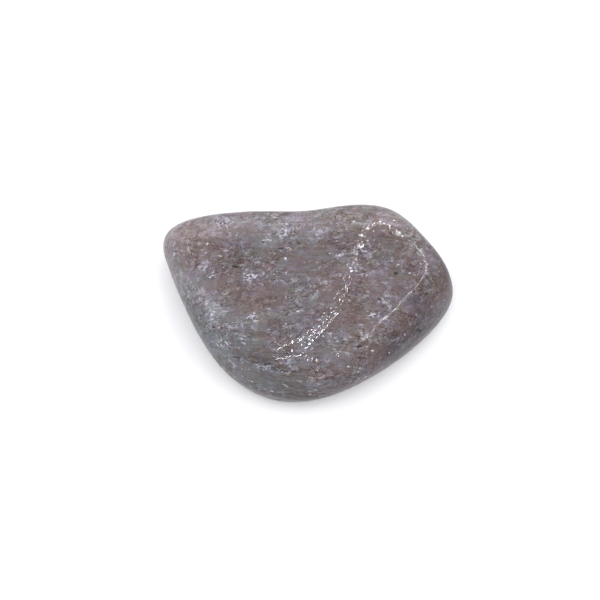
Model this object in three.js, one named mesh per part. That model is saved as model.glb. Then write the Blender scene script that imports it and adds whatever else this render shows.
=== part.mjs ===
// A tumbled aventurine pebble: one solid stone, a broken fragment whose flats met in edges that
// tumbling has worn round. It lies on its broadest side.
//
// Lengths are in millimetres and angles in degrees. +X runs along the stone to its blunt end, +Y to
// its straight long side, and +Z is up. The origin is under the middle of the stone's bounding box,
// on the surface that the stone rests on.
import * as THREE from "three";
import { mergeVertices } from "three/addons/utils/BufferGeometryUtils.js";

// The rough lump that was tumbled. It only sets how evenly the vertices lie on the stone.
const LUMP_HALF_LENGTH = 16;
const LUMP_HALF_WIDTH = 11;
const LUMP_HALF_THICKNESS = 6;
const MESH_DETAIL = 19;

// How crisp the worn edges are: 2 would wear the flats away, and 50 would leave them sharp.
const EDGE_CRISPNESS = 10;

// The patch that the stone rests on is worn level, this far below the stone's heart. Round it the
// surface is worn too, from this height above the patch.
const REST_DEPTH = 4.4;
const REST_RIM = 1.5;

// The flats, as seen from the stone's heart. A flat faces an azimuth, counted from +X towards +Y,
// and an elevation above the horizontal, and its plane lies at its reach from the heart.
const FLATS = {
  crown: { azimuth: 299, elevation: 85, reach: 4.4 },
  crown_left: { azimuth: 157, elevation: 85, reach: 4.4 },
  crown_right: { azimuth: 17, elevation: 81, reach: 5.9 },
  left_slope: { azimuth: 174, elevation: 67, reach: 8.6 },
  back_slope: { azimuth: 94, elevation: 40, reach: 10 },
  back_left: { azimuth: 105, elevation: 12, reach: 14 },
  left_tip: { azimuth: 180, elevation: 22, reach: 16.3 },
  left_side: { azimuth: 206, elevation: -3, reach: 14.4 },
  front_left: { azimuth: 252, elevation: -15, reach: 13.5 },
  front_slope: { azimuth: 287, elevation: 50, reach: 12 },
  front_right_slope: { azimuth: 322, elevation: 45, reach: 10.3 },
  front_right: { azimuth: 322, elevation: -8, reach: 13.4 },
  right_end: { azimuth: 14, elevation: 5, reach: 17.9 },
  back_right: { azimuth: 41, elevation: 0, reach: 13 },
  back: { azimuth: 92, elevation: -9, reach: 9 },
  under_front: { azimuth: 297, elevation: -33, reach: 10.9 },
  under_left: { azimuth: 206, elevation: -39, reach: 11.4 },
  under_right: { azimuth: 332, elevation: -45, reach: 13.1 },
  under_back: { azimuth: 92, elevation: -45, reach: 9.2 },
  belly_left: { azimuth: 185, elevation: -80, reach: 7.4 },
  belly_right: { azimuth: 350, elevation: -80, reach: 7.3 },
  belly_front: { azimuth: 270, elevation: -77, reach: 7.4 },
  belly_back: { azimuth: 90, elevation: -77, reach: 7.3 },
  base: { azimuth: 0, elevation: -90, reach: 7 },
};

// Shallow hollows that tumbling left, each deepest at its middle. The width is the angle from the
// middle, seen from the heart, at which about a third of the depth is left.
const HOLLOWS = {
  back_saddle: { azimuth: 98, elevation: 26, depth: 0.6, width: 28 },
  back_scoop: { azimuth: 60, elevation: -22, depth: 0.3, width: 15 },
  tip_scoop: { azimuth: 196, elevation: -28, depth: 0.3, width: 12 },
  right_scoop: { azimuth: 335, elevation: -34, depth: 0.35, width: 14 },
  belly_dimple: { azimuth: 215, elevation: -62, depth: 0.25, width: 16 },
};

// The unit vector that faces an azimuth and an elevation.
function facing({ azimuth, elevation }) {
  const polar = THREE.MathUtils.degToRad(90 - elevation);
  const turn = THREE.MathUtils.degToRad(azimuth);
  return new THREE.Vector3(
    Math.sin(polar) * Math.cos(turn),
    Math.sin(polar) * Math.sin(turn),
    Math.cos(polar),
  );
}

const flats = Object.values(FLATS).map((flat) => ({ ...flat, normal: facing(flat) }));
const hollows = Object.values(HOLLOWS).map((hollow) => ({ ...hollow, middle: facing(hollow) }));

// How far the surface lies from the heart in a direction: a smooth minimum of the flats' planes,
// less the hollows.
function reachTowards(direction) {
  let sum = 0;
  for (const flat of flats) {
    const share = Math.max(0, direction.dot(flat.normal) / flat.reach);
    sum += share ** EDGE_CRISPNESS;
  }
  let reach = sum ** (-1 / EDGE_CRISPNESS);
  for (const hollow of hollows) {
    const away = THREE.MathUtils.radToDeg(direction.angleTo(hollow.middle)) / hollow.width;
    reach -= hollow.depth * Math.exp(-away * away);
  }
  return reach;
}

// The height at which a point of the flats' surface lies once the resting patch is worn in: level
// under the patch, and easing into the sides over the rim.
function wornHeight(height) {
  const above = height + REST_DEPTH;
  if (above >= REST_RIM) {
    return height;
  }
  const rise = Math.max(0, above + REST_RIM);
  return rise ** 2 / (4 * REST_RIM) - REST_DEPTH;
}

// The stone's surface: a geodesic ball stretched to the lump, with each vertex moved along its
// direction to the worn surface and then to its worn height.
function stoneGeometry() {
  const ball = new THREE.IcosahedronGeometry(1, MESH_DETAIL);
  ball.deleteAttribute("normal");
  ball.deleteAttribute("uv");
  const geometry = mergeVertices(ball);
  geometry.scale(LUMP_HALF_LENGTH, LUMP_HALF_WIDTH, LUMP_HALF_THICKNESS);
  const position = geometry.getAttribute("position");
  const point = new THREE.Vector3();
  for (let i = 0; i < position.count; i++) {
    point.fromBufferAttribute(position, i).normalize();
    point.multiplyScalar(reachTowards(point));
    position.setXYZ(i, point.x, point.y, wornHeight(point.z));
  }
  geometry.computeVertexNormals();
  return geometry;
}

// Moves the geometry so that the origin is under the middle of its bounding box.
function standOnOrigin(geometry) {
  geometry.computeBoundingBox();
  const { min, max } = geometry.boundingBox;
  return geometry.translate(-(min.x + max.x) / 2, -(min.y + max.y) / 2, -min.z);
}

const polishedAventurine = new THREE.MeshStandardMaterial({
  name: "polished_aventurine",
  color: "#837c80",
  roughness: 0.25,
  metalness: 0,
});

const stone = new THREE.Mesh(standOnOrigin(stoneGeometry()), polishedAventurine);
stone.name = "aventurine_stone";

const tumbledAventurine = new THREE.Group();
tumbledAventurine.add(stone);

export default tumbledAventurine;
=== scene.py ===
import math
import random

import bmesh
import bpy
from mathutils import Matrix, Vector, noise
from mathutils.kdtree import KDTree


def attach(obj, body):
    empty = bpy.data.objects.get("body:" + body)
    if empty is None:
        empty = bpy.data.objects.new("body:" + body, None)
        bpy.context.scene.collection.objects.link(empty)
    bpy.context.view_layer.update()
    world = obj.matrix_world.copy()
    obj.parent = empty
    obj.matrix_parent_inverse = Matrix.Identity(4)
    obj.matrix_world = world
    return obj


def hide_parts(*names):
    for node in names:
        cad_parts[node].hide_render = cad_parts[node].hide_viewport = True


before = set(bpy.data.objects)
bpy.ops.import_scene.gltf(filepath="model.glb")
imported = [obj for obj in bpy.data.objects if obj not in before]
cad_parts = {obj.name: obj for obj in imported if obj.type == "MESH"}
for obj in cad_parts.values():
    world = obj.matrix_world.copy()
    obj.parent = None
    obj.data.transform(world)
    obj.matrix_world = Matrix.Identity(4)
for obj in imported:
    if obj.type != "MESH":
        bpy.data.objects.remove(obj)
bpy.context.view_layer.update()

# A tumbled aventurine stone, which lies on its broad side in a plain studio.
#
# Lengths are in millimetres, and are brought to metres by MM where Blender takes them. +X runs along
# the stone to its blunt end, +Y to its straight long side at the back, and +Z is up.
MM = 0.001
SOLID = "aventurine_stone"


# --- the stone's surface -------------------------------------------------------------------------

# The quartz and mica lie in layers that dip a little to the front right, and their streaks run along
# the stone.
LAYER_DIP = math.radians(8)
LAYER_BEARING = math.radians(302)

# Corners of the solid's triangles that lie within this distance are one corner.
WELD_DISTANCE = 0.001
SMOOTHING_LEVELS = 2

# Low relief: its height, and its spacing along each axis. The waves and the ridges of the layers
# follow the axes of the layers, and the orange peel those of the stone.
WAVES = (0.03, (2.4, 1.8, 1.2))
LAYER_RIDGES = (0.012, (2.0, 2.0, 0.35))
ORANGE_PEEL = (0.002, (0.7, 0.7, 0.7))

# The waves keep this share of their height where the layers lie flush with the surface.
FLUSH_WAVES = 0.05

# The orange peel fades towards the right front and keeps this share of its height there.
RIGHT_FRONT = Vector((0.81, -0.59, 0))
PEEL_FADE = (2.6, 5.0)
PEEL_LEFT = 0.2

# The relief grows in over these heights above the floor, so that the foot stays flat.
ABOVE_FOOT = (0.05, 0.5)

# How far up the surface faces, from 0 on a wall to 1 on a level top, where the flanks turn into the
# upper side: for the swells, and for the polish and the painted shade of the flanks.
SWELL_FACING = (0.4, 0.85)
FLANK_FACING = (0.45, 0.85)

# Pits and crevices left from before the tumbling: place, length, width and depth.
NAMED_PITS = [
    ((-7.9, 3.4, 8.1), 1.1, 0.4, 0.16),
    ((5.2, 9.3, 8.6), 0.4, 0.3, 0.14),
    ((9.7, 9.1, 8.3), 0.9, 0.3, 0.12),
    ((9.1, 7.5, 8.4), 0.7, 0.45, 0.08),
    ((10.6, 7.0, 8.3), 0.35, 0.25, 0.1),
    ((11.0, 6.3, 8.2), 0.35, 0.25, 0.1),
    ((9.6, 2.5, 8.3), 0.7, 0.5, 0.06),
    ((12.0, -3.2, 5.6), 1.5, 0.5, 0.12),
    ((-1.7, -0.1, 8.4), 0.35, 0.25, 0.12),
    ((-8.1, -8.2, 7.5), 1.8, 0.35, 0.1),
    ((-4.3, -8.7, 7.9), 1.2, 0.4, 0.08),
    ((-1.6, -8.8, 7.9), 0.9, 0.3, 0.08),
    ((-3.0, 5.6, 8.4), 0.9, 0.4, 0.08),
    ((-3.5, 7.6, 8.3), 0.7, 0.25, 0.1),
    ((-4.9, 6.5, 8.3), 0.5, 0.3, 0.1),
    ((5.6, -6.4, 7.7), 0.9, 0.5, 0.07),
    ((12.4, 0.2, 7.5), 0.3, 0.25, 0.1),
]

# Small pits scattered over the rest of the stone, less dark, with widths and depths as shares of the
# length. The higher the scarcity, the fewer of them are long.
LOOSE_PITS = 45
LOOSE_PIT_LENGTHS = (0.25, 1.0)
LOOSE_PIT_SCARCITY = 2.5
LOOSE_PIT_WIDTHS = (0.3, 0.7)
LOOSE_PIT_DEPTHS = (0.06, 0.14)
LOOSE_PIT_DARKNESS = 0.6
PIT_SEED = 7

# A pit lies along the streaks of the layers, turned from them by no more than this angle, in radians.
# It fades out between these shares of its half size. Its edge is made ragged by a ripple, given by its
# height, as such a share, and its spacing.
PIT_TURN = 0.5
PIT_EDGE = (0.35, 1.25)
PIT_RAGS = (0.35, (0.35, 0.35, 0.35))

# Faint swells that tumbling left on the upper side: the place seen from above, height and width.
SWELLS = [
    (-5.7, -9.3, 0.1, 2.0),
    (-2.5, -1.7, -0.1, 2.2),
    (2.0, 2.6, -0.06, 2.5),
    (0.3, -8.4, 0.04, 1.2),
    (2.2, -10.2, -0.1, 2.2),
    (5.2, -0.1, 0.075, 2.8),
    (5.9, -5.9, -0.085, 2.2),
    (9.2, 8.3, -0.065, 2.1),
    (12.5, -0.6, -0.1, 4.6),
    (13.5, 3.6, -0.1, 2.0),
]

# The front left shoulder is worn rounder than the solid's. Round this middle it leans back by this
# angle and lies at this reach. It fades in and out over these bearings, in degrees, and it blends into
# the upper side and the flank over the softness.
SHOULDER_MIDDLE = Vector((-1.0, 0.5, 0))
SHOULDER_LEAN = math.radians(22)
SHOULDER_REACH = 12.4
SHOULDER_FROM = (198, 232)
SHOULDER_TO = (262, 325)
SHOULDER_SOFTNESS = 0.25

# Patches of the rock that differ from the rest: place and radius.
PALE_PATCHES = [
    ((-4.5, 6.8, 8.3), 0.9),
    ((-2.7, 7.6, 8.3), 0.8),
    ((-14.6, 6.0, 6.3), 0.8),
    ((-10.3, -2.5, 7.8), 1.0),
    ((-6.3, 2.1, 8.3), 1.2),
    ((-6.1, -3.3, 8.2), 1.1),
    ((-9.0, 9.4, 7.8), 1.2),
    ((-10.5, 2.3, 7.8), 0.7),
    ((-11.1, 3.5, 7.7), 0.6),
    ((-9.2, -6.2, 7.7), 0.9),
    ((-7.0, -6.1, 8.1), 0.8),
    ((-5.3, -9.4, 7.7), 0.8),
    ((3.5, 4.4, 8.6), 0.7),
    ((1.3, 7.5, 8.4), 0.9),
    ((7.3, -2.9, 8.0), 0.9),
    ((8.1, -0.8, 8.1), 0.8),
    ((9.0, 3.7, 8.3), 0.8),
    ((6.6, 5.5, 8.6), 0.9),
    ((5.6, 9.4, 8.6), 0.3),
]
RUST_PATCHES = [
    ((-12.1, 7.2, 7.4), 2.2),
    ((-10.1, 8.3, 7.7), 1.4),
    ((-5.2, -1.9, 8.3), 1.8),
    ((-8.6, 1.0, 8.1), 1.6),
    ((7.3, 0.9, 8.3), 1.2),
    ((5.3, -2.9, 8.2), 1.6),
    ((1.3, -10.2, 7.4), 1.0),
    ((14.8, 1.4, 6.3), 2.0),
    ((10.5, -3.3, 7.1), 1.4),
    ((7.2, -6.4, 7.2), 1.4),
    ((9.3, 7.5, 8.4), 0.6),
    ((2.4, 2.1, 8.5), 1.6),
]
COOL_PATCHES = [
    ((-6.3, 5.5, 8.2), 1.4),
    ((-11.1, -1.1, 7.6), 1.8),
    ((-10.5, -5.2, 7.2), 1.8),
    ((-1.0, 7.1, 8.3), 1.3),
    ((11.1, -0.7, 7.7), 0.9),
    ((9.4, -5.7, 6.3), 1.8),
    ((12.1, -2.6, 6.2), 0.8),
    ((-0.8, -3.4, 8.3), 1.6),
    ((0.3, -6.0, 8.1), 1.5),
    ((-12.5, 1.5, 7.3), 1.4),
]


def layer_turn():
    """Turns the stone's own frame into that of its layers, whose Z is square to them."""
    axis = Vector((-math.sin(LAYER_BEARING), math.cos(LAYER_BEARING), 0))
    return Matrix.Rotation(-LAYER_DIP, 3, axis)


def ease(low, high, value):
    """Goes smoothly from 0 at the low value to 1 at the high one."""
    t = min(1.0, max(0.0, (value - low) / (high - low)))
    return t * t * (3 - 2 * t)


def ripple(place, height, spacing):
    """A random rise or dip at a place, from its height and its spacing along each axis."""
    return height * noise.noise(Vector([along / apart for along, apart in zip(place, spacing)]))


def smoothed_solid():
    """A fine, smooth copy of the worn solid."""
    rough = bpy.data.objects.new("smoothing", bpy.data.objects[SOLID].data.copy())
    bpy.context.collection.objects.link(rough)
    body = bmesh.new()
    body.from_mesh(rough.data)
    bmesh.ops.remove_doubles(body, verts=body.verts, dist=WELD_DISTANCE * MM)
    body.to_mesh(rough.data)
    body.free()
    smoothing = rough.modifiers.new("smoothing", "SUBSURF")
    smoothing.levels = SMOOTHING_LEVELS
    smoothing.render_levels = SMOOTHING_LEVELS
    fine = bpy.data.meshes.new_from_object(rough.evaluated_get(bpy.context.evaluated_depsgraph_get()))
    coarse = rough.data
    bpy.data.objects.remove(rough)
    bpy.data.meshes.remove(coarse)
    return fine


def pits_for(body, tree, rng):
    """Every pit as (place, along, across, half length, half width, depth, darkness), on the surface."""
    streak = layer_turn().inverted() @ Vector((1, 0, 0))
    sizes = [(Vector(place), *pit, 1.0) for place, *pit in NAMED_PITS]
    shortest, longest = LOOSE_PIT_LENGTHS
    for _ in range(LOOSE_PITS):
        vert = body.verts[rng.randrange(len(body.verts))]
        length = shortest + (longest - shortest) * rng.random() ** LOOSE_PIT_SCARCITY
        width = length * rng.uniform(*LOOSE_PIT_WIDTHS)
        depth = length * rng.uniform(*LOOSE_PIT_DEPTHS)
        sizes.append((vert.co / MM, length, width, depth, LOOSE_PIT_DARKNESS))
    pits = []
    for place, length, width, depth, darkness in sizes:
        vert = body.verts[tree.find(place)[1]]
        across = vert.normal.cross(streak).normalized()
        along = across.cross(vert.normal).normalized()
        turn = Matrix.Rotation(rng.uniform(-PIT_TURN, PIT_TURN), 3, vert.normal)
        pits.append((vert.co / MM, turn @ along, turn @ across, length / 2, width / 2, depth, darkness))
    return pits


def sink_pits(body, tree, rng):
    """The depth to which each vertex sinks, and how dark it is from the pits."""
    depths = [0.0] * len(body.verts)
    hollows = [0.0] * len(body.verts)
    for place, along, across, half_length, half_width, depth, darkness in pits_for(body, tree, rng):
        # No pit, however ragged, reaches further than this.
        furthest = half_length * 1.8 + 0.2
        for co, index, _ in tree.find_range(place, furthest):
            away = co - place
            reach = math.hypot(away.dot(along) / half_length, away.dot(across) / half_width)
            share = 1 - ease(*PIT_EDGE, reach + ripple(co, *PIT_RAGS))
            depths[index] = max(depths[index], depth * share)
            hollows[index] = max(hollows[index], darkness * share)
    return depths, hollows


def tint(body, tree, name, patches):
    """Marks how near each vertex is to the middle of a patch, as a named attribute."""
    layer = body.verts.layers.float.new(name)
    body.verts.ensure_lookup_table()
    for place, radius in patches:
        centre = body.verts[tree.find(Vector(place))[1]].co / MM
        for co, index, distance in tree.find_range(centre, radius * 2):
            vert = body.verts[index]
            vert[layer] = max(vert[layer], 1 - distance / (2 * radius))


def swell(place):
    """How far the swells lift a place on the upper side."""
    return sum(
        height * math.exp(-((place.x - x) ** 2 + (place.y - y) ** 2) / (2 * width**2))
        for x, y, height, width in SWELLS
    )


def worn_shoulder(place):
    """The way that a place on the front left shoulder moves in."""
    away = place - SHOULDER_MIDDLE
    bearing = math.degrees(math.atan2(away.y, away.x)) % 360
    share = ease(*SHOULDER_FROM, bearing) * (1 - ease(*SHOULDER_TO, bearing))
    outward = Vector((away.x, away.y, 0)).normalized() * math.cos(SHOULDER_LEAN)
    outward.z = math.sin(SHOULDER_LEAN)
    excess = (away.dot(outward) - SHOULDER_REACH) / SHOULDER_SOFTNESS
    return -outward * share * SHOULDER_SOFTNESS * math.log1p(math.exp(excess))


def shape_relief(body, rng):
    """Gives the smooth stone its worn shoulder, low relief and pits, and keeps its foot flat."""
    body.verts.ensure_lookup_table()
    tree = KDTree(len(body.verts))
    for vert in body.verts:
        tree.insert(vert.co / MM, vert.index)
    tree.balance()
    tint(body, tree, "pale", PALE_PATCHES)
    tint(body, tree, "rust", RUST_PATCHES)
    tint(body, tree, "cool", COOL_PATCHES)
    shade = body.verts.layers.float.new("hollow")
    flank = body.verts.layers.float.new("flank")
    body.verts.ensure_lookup_table()
    depths, hollows = sink_pits(body, tree, rng)
    turn = layer_turn()
    for vert in body.verts:
        vert.co += worn_shoulder(vert.co / MM) * MM
    body.normal_update()
    normals = [vert.normal.copy() for vert in body.verts]
    for vert in body.verts:
        normal = normals[vert.index]
        place = vert.co / MM
        flow = turn @ place
        side = 1 - abs((turn @ normal).z)
        peel_left = 1 - (1 - PEEL_LEFT) * ease(*PEEL_FADE, place.dot(RIGHT_FRONT))
        lift = swell(place) * ease(*SWELL_FACING, normal.z)
        lift += ripple(flow, *WAVES) * (FLUSH_WAVES + side)
        lift += ripple(flow, *LAYER_RIDGES) * side
        lift += ripple(place, *ORANGE_PEEL) * peel_left
        lift -= depths[vert.index]
        vert.co += normal * lift * ease(*ABOVE_FOOT, place.z) * MM
        vert[shade] = hollows[vert.index]
        vert[flank] = 1 - ease(*FLANK_FACING, normal.z)


def polished_stone(rng):
    """The stone as it is seen: the smoothed solid with its relief, in aventurine."""
    fine = smoothed_solid()
    body = bmesh.new()
    body.from_mesh(fine)
    shape_relief(body, rng)
    for face in body.faces:
        face.smooth = True
    body.to_mesh(fine)
    body.free()
    fine.name = "polished_stone"
    stone = bpy.data.objects.new("polished_stone", fine)
    bpy.context.collection.objects.link(stone)
    stone.data.materials.clear()
    stone.data.materials.append(Aventurine().finished())
    return stone


# --- the aventurine ------------------------------------------------------------------------------

# Quartz, from its darkest grains to its lightest.
BROWN_QUARTZ = [
    (0.021, 0.011, 0.010),
    (0.055, 0.036, 0.033),
    (0.114, 0.083, 0.077),
    (0.182, 0.145, 0.137),
    (0.33, 0.28, 0.27),
]
LILAC_QUARTZ = [
    (0.017, 0.012, 0.017),
    (0.047, 0.039, 0.047),
    (0.100, 0.089, 0.101),
    (0.165, 0.153, 0.170),
    (0.31, 0.295, 0.32),
]

# How light and how warm the quartz is before its parts differ: from 0 at the darkest grains to 1 at
# the lightest, and from where it is all lilac-grey to where it is all brown.
QUARTZ_LIGHTNESS = 0.61
QUARTZ_WARMTH = 0.46
LILAC_TO_BROWN = (-0.2, 1.2)

WHITE_GRAIN = (0.5, 0.48, 0.54)
DARK_GAP = (0.022, 0.016, 0.018)
DARK_MINERAL = (0.020, 0.013, 0.014)
PIT_SHADOW = (0.012, 0.008, 0.008)
# Mica flecks, painted near white as painted glints.
MICA_GLINT = (0.60, 0.55, 0.59)

# Faint tints that the rock's colour is multiplied by. The one on the flanks is painted shade, darker and
# cooler where the surface faces less up.
GREENISH = (0.97, 1.03, 0.96)
PINKISH = (1.03, 0.97, 1.04)
FRONT_LEFT_TINT = (0.90, 1.0, 0.97)
FLANK_SHADE_TINT = (0.935, 0.945, 0.97)

BACK = (0, 1, 0)
FRONT = (0, -1, 0)
FRONT_LEFT = (-0.6, -0.8, 0)

# Painted light and shade, partly the rock's own tone: the back, the left end and the back right corner
# are painted paler, and the front edges and the right side painted darker, as light from above and
# behind leaves them. Each gives the direction, from where to where along it, and how much lighter.
PAINTED_LIGHT_ZONES = [
    (BACK, 6.0, 9.0, 0.19),
    ((-0.95, -0.3, 0), 6.0, 12.0, 0.14),
    (FRONT_LEFT, 7.0, 10.0, -0.12),
    ((0.55, -0.83, 0), 6.5, 10.5, -0.11),
    ((0.9, -0.44, 0), 9.0, 13.0, -0.22),
    ((0.9, 0.44, 0), 10.5, 14.5, 0.08),
]

# The crown is polished, and the flanks less so.
CROWN_ROUGHNESS = 0.03
FLANK_ROUGHNESS = 0.4
GLOSS_IOR = 1.4

# The finest of the orange peel is only in the polish.
PEEL_SIZE = 0.35
PEEL_DEPTH = 0.003


class Recipe:
    """A material's nodes, added one step at a time."""

    def __init__(self, name):
        self.material = bpy.data.materials.new(name)
        self.material.use_nodes = True
        self.tree = self.material.node_tree
        self.nodes = self.tree.nodes
        self.nodes.clear()

    def add(self, kind, inputs=None, **settings):
        """A node of a kind, with its inputs set to values or linked to the outputs of other nodes."""
        node = self.nodes.new(kind)
        for key, value in settings.items():
            setattr(node, key, value)
        for key, value in (inputs or {}).items():
            socket = node.inputs[key]
            if isinstance(value, bpy.types.NodeSocket):
                self.tree.links.new(value, socket)
            else:
                socket.default_value = value
        return node

    def math(self, operation, first, second):
        return self.add("ShaderNodeMath", {0: first, 1: second}, operation=operation).outputs[0]

    def total(self, *values):
        """The values added up."""
        result = values[0]
        for value in values[1:]:
            result = self.math("ADD", result, value)
        return result

    def times(self, *values):
        """The values multiplied."""
        result = values[0]
        for value in values[1:]:
            result = self.math("MULTIPLY", result, value)
        return result

    def centred(self, value, weight):
        """A value that runs from 0 to 1, made to run evenly to both sides of 0, and weighted."""
        return self.math("MULTIPLY", self.math("SUBTRACT", value, 0.5), weight)

    def band(self, value, start, end, at_start=0.0, at_end=1.0):
        """Goes smoothly from one result to the other as the value goes from the start to the end."""
        node = self.add(
            "ShaderNodeMapRange",
            {"Value": value, "From Min": start, "From Max": end, "To Min": at_start, "To Max": at_end},
            interpolation_type="SMOOTHSTEP",
        )
        return node.outputs[0]

    def place(self, scale, turn=(0, 0, 0), shift=(0, 0, 0), start=None):
        """A place stretched, turned and shifted. It starts from the object's own place."""
        start = start or self.add("ShaderNodeTexCoord").outputs["Object"]
        node = self.add(
            "ShaderNodeMapping",
            {"Vector": start, "Location": shift, "Rotation": turn, "Scale": scale},
        )
        return node.outputs[0]

    def apart(self, start, shift):
        """A place shifted so far that a pattern there has nothing to do with the one here."""
        return self.place((1, 1, 1), shift=shift, start=start)

    def stir(self, start, weight, follows, scale, detail=0.0):
        """A place moved about by a cloud that follows a place."""
        cloud = self.add("ShaderNodeTexNoise", {"Vector": follows, "Scale": scale, "Detail": detail})
        node = self.add(
            "ShaderNodeVectorMath",
            {0: cloud.outputs["Color"], 1: (weight,) * 3, 2: start},
            operation="MULTIPLY_ADD",
        )
        return node.outputs[0]

    def towards(self, place, direction):
        """How far a place lies in a direction."""
        node = self.add("ShaderNodeVectorMath", {0: place, 1: direction}, operation="DOT_PRODUCT")
        return node.outputs["Value"]

    def share(self, name):
        """What the mesh marks at each vertex under a name."""
        return self.add("ShaderNodeAttribute", attribute_name=name).outputs["Fac"]

    def cloud(self, place, size, detail=0.0, roughness=0.5):
        """A soft random pattern whose blots are about the given size, with finer ones as its detail."""
        node = self.add(
            "ShaderNodeTexNoise",
            {"Vector": place, "Scale": 1 / size, "Detail": detail, "Roughness": roughness},
        )
        return node.outputs["Fac"]

    def grains(self, place, size):
        """Cells of about the given size, each with a random colour."""
        return self.add("ShaderNodeTexVoronoi", {"Vector": place, "Scale": 1 / size}).outputs

    def channel(self, colour, index):
        """The red, green or blue of a colour, by the index 0, 1 or 2."""
        return self.add("ShaderNodeSeparateColor", {"Color": colour}).outputs[index]

    def mix(self, share, first, second, blend="MIX"):
        """Two colours mixed, each given as a node's output or as red, green and blue."""
        first, second = (
            colour if isinstance(colour, bpy.types.NodeSocket) else (*colour, 1)
            for colour in (first, second)
        )
        # The node has sockets for numbers and vectors too. Those for colours are 6 and 7, and output 2.
        sockets = {0: share, 6: first, 7: second}
        node = self.add("ShaderNodeMix", sockets, data_type="RGBA", blend_type=blend)
        return node.outputs[2]

    def ramp(self, value, colours):
        """Evenly spaced colours, from the first at 0 to the last at 1."""
        node = self.add("ShaderNodeValToRGB", {"Fac": value})
        stops = node.color_ramp.elements
        while len(stops) < len(colours):
            stops.new(0.5)
        for index, colour in enumerate(colours):
            stops[index].position = index / (len(colours) - 1)
            stops[index].color = (*colour, 1)
        return node.outputs["Color"]


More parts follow.
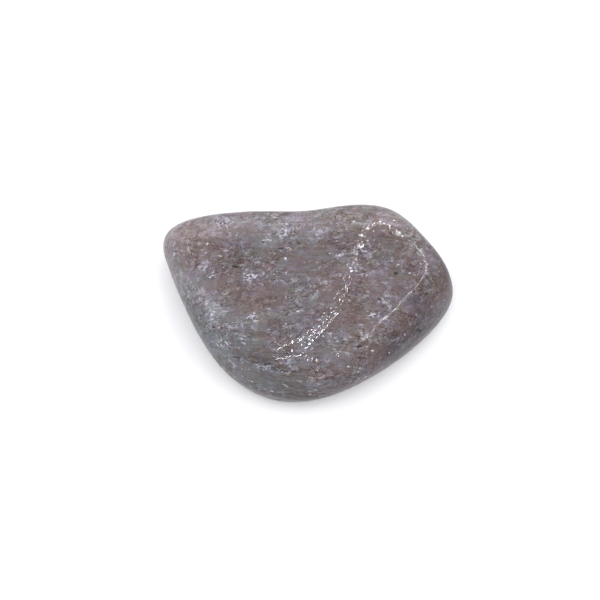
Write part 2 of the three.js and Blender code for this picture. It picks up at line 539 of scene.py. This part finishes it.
class Aventurine(Recipe):
    """Grey-brown quartz with lilac-grey grains, pale nests, iron stains, flecks of mica painted as
    glints, and painted light and shade.
    """

    def __init__(self):
        super().__init__("polished_aventurine")
        # Places in millimetres: on the stone's own axes and on the axes of its layers.
        self.plain = self.place((1 / MM,) * 3)
        self.level = self.place((1 / MM,) * 3, turn=layer_turn().to_euler())

        # The rock flowed along its layers, its grains were stirred, and their edges are frayed.
        swirled = self.stir(self.level, 0.6, follows=self.level, scale=0.25)
        self.flow = self.place((0.75, 1.0, 1.8), start=swirled)
        self.stirred = self.stir(self.flow, 0.5, follows=self.flow, scale=1.7, detail=2.0)
        self.frayed = self.stir(self.stirred, 0.22, follows=self.flow, scale=7.0, detail=1.0)
        self.frayed_apart = self.apart(self.frayed, (31, 7, 3))

        # The grain is coarse in some parts of the rock and hardly shows in others.
        coarse = self.cloud(self.apart(self.flow, (12, -4, 6)), 2.2, detail=2.0, roughness=0.6)
        self.coarse = self.band(coarse, 0.38, 0.62, 0.4, 1.55)
        self.pale = self.share("pale")
        self.flank = self.share("flank")

    def finished(self):
        colour = self.quartz()
        colour = self.nests(colour)
        colour = self.dark_minerals(colour)
        colour = self.mix(self.band(self.share("hollow"), 0.2, 0.9, 0.0, 0.8), colour, PIT_SHADOW)
        # Painted glints: flecks of mica painted near white, as if catching the lamp.
        colour = self.mix(self.flakes_and_glints(), colour, MICA_GLINT)
        rough = self.band(self.flank, 0.0, 1.0, CROWN_ROUGHNESS, FLANK_ROUGHNESS)
        shader = self.add(
            "ShaderNodeBsdfPrincipled",
            {"Base Color": colour, "Roughness": rough, "IOR": GLOSS_IOR, "Normal": self.polish()},
        )
        self.add("ShaderNodeOutputMaterial", {"Surface": shader.outputs[0]})
        return self.material

    def quartz(self):
        """The colour of the quartz, from how light and how warm the rock is at each place, with painted
        shade on its flanks.
        """
        bedding = self.place((0.1, 0.1, 1.0), start=self.level)
        beds = self.cloud(bedding, 1.2, detail=1.0, roughness=0.6)
        broad = self.cloud(self.flow, 5.0, detail=1.5, roughness=0.7)
        clumps = self.cloud(self.apart(self.flow, (2, 9, 4)), 0.8)
        large = self.grains(self.frayed, 0.5)["Color"]
        large_light = self.band(self.channel(large, 0), 0.5, 1.0, -0.03, 0.12)
        lightness = self.lightness(beds, broad, clumps, large_light)
        warmth = self.warmth(beds, broad, clumps, large_light, self.channel(large, 2))
        lilac = self.ramp(lightness, LILAC_QUARTZ)
        brown = self.ramp(lightness, BROWN_QUARTZ)
        colour = self.mix(self.band(warmth, *LILAC_TO_BROWN), lilac, brown)

        blush = self.cloud(self.apart(self.flow, (-7, 15, 2)), 2.4, detail=3.0, roughness=0.9)
        blush = self.mix(self.band(blush, 0.35, 0.65), GREENISH, PINKISH)
        colour = self.mix(1.0, colour, blush, "MULTIPLY")
        front_left = self.band(self.towards(self.plain, FRONT_LEFT), 5.0, 11.0)
        colour = self.mix(front_left, colour, FRONT_LEFT_TINT, "MULTIPLY")
        # Painted shade: the flanks are darker and cooler than the upper side.
        return self.mix(self.band(self.flank, 0.3, 1.0), colour, FLANK_SHADE_TINT, "MULTIPLY")

    def lightness(self, beds, broad, clumps, large_light):
        """How light the quartz is: painted light and shade over broad parts of the stone, and its own
        tone in streaks, grains and grit.
        """
        # Painted light and shade: broad parts of the stone made paler or darker as light from above and
        # behind would leave them.
        painted_light_and_shade = [
            self.band(self.towards(self.plain, direction), start, end, 0.0, lighter)
            for direction, start, end, lighter in PAINTED_LIGHT_ZONES
        ]
        small = self.grains(self.frayed_apart, 0.26)["Color"]
        small_light = self.band(self.channel(small, 1), 0.5, 1.0, -0.04, 0.13)
        streaks = self.place((0.11, 1.0, 1.6), start=self.stirred)
        streaks = self.cloud(streaks, 0.26, detail=1.0)
        grit = self.place((1.15, 1.0, 1.0), shift=(5, 2, 11), start=self.stirred)
        grit = self.cloud(grit, 0.2, detail=2.0, roughness=1.0)
        return self.total(
            QUARTZ_LIGHTNESS,
            *painted_light_and_shade,
            self.centred(beds, 0.17),
            self.centred(broad, 0.36),
            self.centred(clumps, 0.17),
            self.times(self.coarse, self.centred(grit, 0.7)),
            self.times(self.coarse, large_light),
            self.times(self.coarse, small_light),
            self.band(streaks, 0.56, 0.72, 0.0, 0.14),
            self.band(streaks, 0.42, 0.3, 0.0, -0.11),
            self.times(self.band(self.pale, 0.2, 0.9), 0.06),
        )

    def warmth(self, beds, broad, clumps, large_light, large_warmth):
        """How brown the quartz is rather than lilac-grey. The lighter parts are the cooler ones."""
        mottle = self.cloud(self.apart(self.flow, (31, 7, 3)), 3.0, detail=3.0, roughness=0.8)
        return self.total(
            QUARTZ_WARMTH,
            self.band(self.towards(self.plain, BACK), 2.0, 8.0, 0.0, 0.15),
            self.centred(beds, -1.0),
            self.centred(broad, -1.0),
            self.centred(clumps, -1.4),
            self.times(large_light, -3.0),
            self.centred(large_warmth, 0.1),
            self.centred(mottle, 1.3),
            self.times(self.band(self.share("rust"), 0.1, 0.9), 0.45),
            self.times(self.band(self.share("cool"), 0.1, 0.9), -0.35),
            self.times(self.band(self.pale, 0.1, 0.9), -0.4),
        )

    def nests(self, colour):
        """White grains with dark gaps between them, round the middles of the pale patches."""
        ragged = self.centred(self.cloud(self.stirred, 0.5, detail=1.0), 1.2)
        nest = self.band(self.total(self.pale, ragged), 0.55, 0.85)
        grain = self.channel(self.grains(self.frayed_apart, 0.2)["Color"], 0)
        colour = self.mix(self.times(nest, self.band(grain, 0.5, 1.0)), colour, WHITE_GRAIN)
        return self.mix(self.times(nest, self.band(grain, 0.25, 0.15, 0.0, 0.4)), colour, DARK_GAP)

    def dark_minerals(self, colour):
        """Small dark specks, most of them where the grain is coarse."""
        speck = self.cloud(self.apart(self.stirred, (-9, 3, 8)), 0.17, detail=1.0)
        speck = self.times(self.coarse, self.band(speck, 0.41, 0.30, 0.0, 0.55))
        return self.mix(speck, colour, DARK_MINERAL)

    def flakes_and_glints(self):
        """Single flecks of mica in the middles of some grains, each of its own size and strength,
        painted pale as painted glints.
        """
        grains = self.grains(self.frayed_apart, 0.5)
        size = self.band(self.channel(grains["Color"], 0), 0.45, 1.0, 0.0, 0.13)
        inside = self.math("SUBTRACT", size, self.times(grains["Distance"], 0.5))
        return self.times(
            self.band(inside, -0.02, 0.06),
            self.band(self.channel(grains["Color"], 1), 0.0, 1.0, 0.3, 1.0),
            self.band(self.coarse, 0.4, 1.2, 0.4, 1.0),
        )

    def polish(self):
        """A faint orange peel in the polish, weaker towards the right front and the front."""
        peel = self.times(
            self.cloud(self.level, PEEL_SIZE),
            self.band(self.towards(self.plain, RIGHT_FRONT), *PEEL_FADE, 1.0, PEEL_LEFT),
            self.band(self.towards(self.plain, FRONT), 4.0, 7.5, 1.0, 0.25),
        )
        bump = self.add("ShaderNodeBump", {"Strength": 1.0, "Distance": PEEL_DEPTH * MM, "Height": peel})
        return bump.outputs[0]


# --- the studio ----------------------------------------------------------------------------------

VIEW_TARGET = Vector((-0.81, 1.3, 4.4))
VIEW_ELEVATION = math.radians(60)
VIEW_DISTANCE = 401
VIEW_LENS = 220

# The ring lamp: rows of points round its middle, by the rows' radii. It faces a place on the stone.
LAMP_MIDDLE = Vector((82.6, 120.1, 272.6))
LAMP_FACES = Vector((6, 0, 8))
LAMP_ROWS = (65.0, 69.5, 74.0)
LAMP_POINTS = 36
LAMP_POINT_LENGTH = 1.3
LAMP_POINT_WIDTH = 1.0
LAMP_STRENGTH = 340
LAMP_COLOUR = (0.93, 0.96, 1.0)

# The lamp is dimmer on its left side: the direction, from where to where along it, and the share of
# the strength that is left.
LAMP_DIM_SIDE = (-0.83, -0.37, 0.41)
LAMP_DIM_BAND = (0, 60)
LAMP_DIM_SHARE = 0.33

SOFT_BOX_DISTANCE = 400
SOFT_BOX_ELEVATION = math.radians(60)
SOFT_BOX_BEARINGS = (225, 270, 315)
SOFT_BOX_SIZE = (350, 250)
SOFT_BOX_POWER = 0.45

ROOM_COLOUR = (0.983, 0.985, 1.043)
ROOM_STRENGTH = 0.72

# The floor is a hair below the foot, so that the two faces never meet.
FLOOR_HALF_SIZE = 1500
FLOOR_DROP = 0.02
FLOOR_COLOUR = (0.97, 0.97, 0.97)


def camera():
    data = bpy.data.cameras.new("camera")
    data.lens = VIEW_LENS
    data.clip_start = 10 * MM
    view = bpy.data.objects.new("camera", data)
    back = Vector((0, -math.cos(VIEW_ELEVATION), math.sin(VIEW_ELEVATION)))
    view.location = (VIEW_TARGET + back * VIEW_DISTANCE) * MM
    view.rotation_euler = (-back).to_track_quat("-Z", "Y").to_euler()
    bpy.context.collection.objects.link(view)
    bpy.context.scene.camera = view


def lamp_glow():
    """A cool white glow, dimmer on one side of the lamp."""
    glow = Recipe("lamp_points")
    aside = glow.towards(glow.place((1 / MM,) * 3), LAMP_DIM_SIDE)
    strength = glow.band(aside, *LAMP_DIM_BAND, LAMP_STRENGTH, LAMP_STRENGTH * LAMP_DIM_SHARE)
    shader = glow.add("ShaderNodeEmission", {"Color": (*LAMP_COLOUR, 1), "Strength": strength})
    glow.add("ShaderNodeOutputMaterial", {"Surface": shader.outputs[0]})
    return glow.material


def white_paper():
    paper = Recipe("white_paper")
    shader = paper.add("ShaderNodeBsdfDiffuse", {"Color": (*FLOOR_COLOUR, 1)})
    paper.add("ShaderNodeOutputMaterial", {"Surface": shader.outputs[0]})
    return paper.material


def staged(name, body, material):
    """A piece of the studio, made from a bmesh, that isn't part of the stone."""
    mesh = bpy.data.meshes.new(name)
    body.to_mesh(mesh)
    body.free()
    mesh.materials.append(material)
    piece = bpy.data.objects.new(name, mesh)
    bpy.context.collection.objects.link(piece)
    return piece


def ring_lamp():
    """Rings of small bright points above and behind the stone, each ring turned on from the last."""
    body = bmesh.new()
    point = Matrix.Diagonal((LAMP_POINT_WIDTH / 2 * MM, LAMP_POINT_LENGTH / 2 * MM, 1, 1))
    for row, radius in enumerate(LAMP_ROWS):
        for step in range(LAMP_POINTS):
            turn = Matrix.Rotation(2 * math.pi * (step + row / len(LAMP_ROWS)) / LAMP_POINTS, 4, "Z")
            place = turn @ Matrix.Translation((radius * MM, 0, 0)) @ point
            bmesh.ops.create_grid(body, x_segments=1, y_segments=1, size=1, matrix=place)
    aim = (LAMP_MIDDLE - LAMP_FACES).to_track_quat("Z", "Y").to_matrix().to_4x4()
    bmesh.ops.transform(body, matrix=Matrix.Translation(LAMP_MIDDLE * MM) @ aim, verts=body.verts)
    lamp = staged("ring_lamp", body, lamp_glow())
    lamp.visible_camera = False


def soft_box(bearing):
    """A soft light above and in front of the stone, which is kept out of the polish."""
    data = bpy.data.lights.new("soft_box", "AREA")
    data.shape = "RECTANGLE"
    data.size = SOFT_BOX_SIZE[0] * MM
    data.size_y = SOFT_BOX_SIZE[1] * MM
    data.energy = SOFT_BOX_POWER
    box = bpy.data.objects.new("soft_box", data)
    outward = Vector((math.cos(bearing), math.sin(bearing), 0)) * math.cos(SOFT_BOX_ELEVATION)
    outward.z = math.sin(SOFT_BOX_ELEVATION)
    box.location = outward * SOFT_BOX_DISTANCE * MM
    box.rotation_euler = outward.to_track_quat("Z", "Y").to_euler()
    box.visible_glossy = False
    bpy.context.collection.objects.link(box)


def floor():
    body = bmesh.new()
    level = Matrix.Translation((0, 0, -FLOOR_DROP * MM))
    bmesh.ops.create_grid(body, x_segments=1, y_segments=1, size=FLOOR_HALF_SIZE * MM, matrix=level)
    staged("floor", body, white_paper())


def room():
    """An even, faintly blue light from all round."""
    world = bpy.data.worlds.new("room")
    world.use_nodes = True
    background = world.node_tree.nodes["Background"]
    background.inputs["Color"].default_value = (*ROOM_COLOUR, 1)
    background.inputs["Strength"].default_value = ROOM_STRENGTH
    bpy.context.scene.world = world


stone = polished_stone(random.Random(PIT_SEED))
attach(stone, "root")
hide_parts(SOLID)

camera()
floor()
ring_lamp()
for degrees in SOFT_BOX_BEARINGS:
    soft_box(math.radians(degrees))
room()

scene = bpy.context.scene
scene.view_settings.view_transform = "Standard"
scene.view_settings.look = "None"
